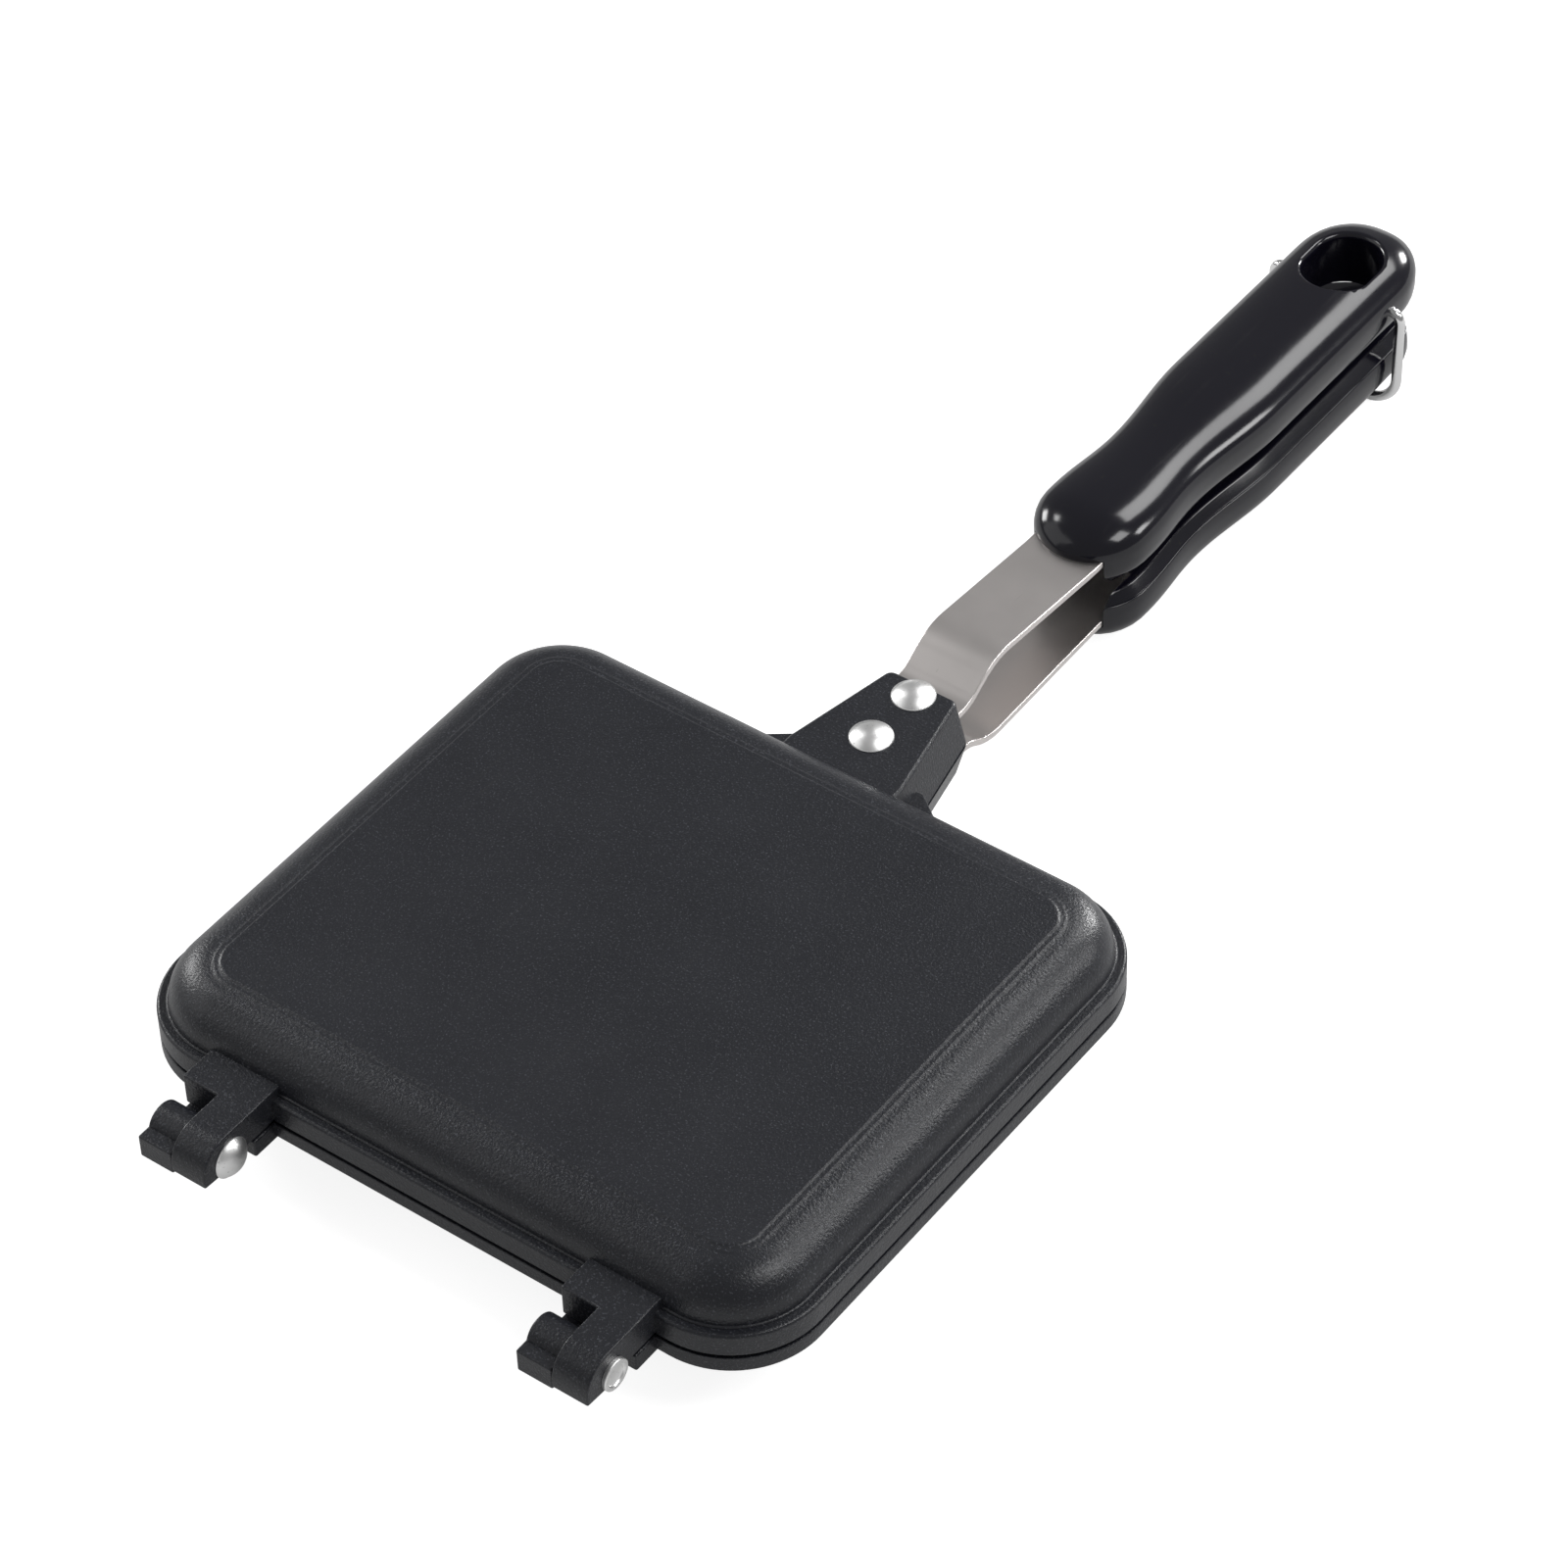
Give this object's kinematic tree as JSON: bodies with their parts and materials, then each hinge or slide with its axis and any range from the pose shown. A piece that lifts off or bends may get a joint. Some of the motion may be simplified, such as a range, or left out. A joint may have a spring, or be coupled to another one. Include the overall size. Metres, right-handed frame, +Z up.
{
  "type": "pie iron",
  "caption": "Hinged double sandwich pan for stove or campfire, dark coated halves on riveted steel straps, long moulded grips and a swinging wire latch.",
  "frame": {"origin": "centre of the lower pan's flat outer face, on which the closed pan rests", "axes": "+Z up from the lower pan to the upper pan, +Y from the hinge towards the handle ends, +X to the right seen from the hinge side"},
  "size_m": [0.146, 0.3385, 0.0322],
  "materials": {
    "pan_coating": "matte charcoal non-stick coating with fine pale specks, on cast aluminium",
    "strap_steel": "plain rolled stainless, nearly bright",
    "rivet_metal": "bright formed heads",
    "grip_plastic": "glossy black moulded phenolic",
    "screw_steel": "zinc plated",
    "latch_wire": "bright plated wire"
  },
  "bodies": {
    "base": {"lower_pan": "pan_coating", "lower_strap": "strap_steel", "lower_rivet_inner": "rivet_metal", "lower_rivet_outer": "rivet_metal", "lower_handle": "grip_plastic", "lower_screw_front": "screw_steel", "lower_screw_rear": "screw_steel", "hinge_pin_left": "rivet_metal", "hinge_pin_right": "rivet_metal"},
    "lid": {"upper_pan": "pan_coating", "upper_strap": "strap_steel", "upper_rivet_inner": "rivet_metal", "upper_rivet_outer": "rivet_metal", "upper_handle": "grip_plastic", "upper_screw_front": "screw_steel", "upper_screw_rear": "screw_steel"},
    "latch": {"latch_bail": "latch_wire"}
  },
  "joints": [
    {"name": "lid_hinge", "type": "hinge", "parent": "base", "child": "lid", "pos_m": [0, -0.0754, 0.0165], "axis": [1, 0, 0], "range_deg": [0, 125]},
    {"name": "latch_swing", "type": "hinge", "parent": "lid", "child": "latch", "pos_m": [0, 0.2361, 0.0231], "axis": [1, 0, 0], "range_deg": [0, 248]}
  ]
}
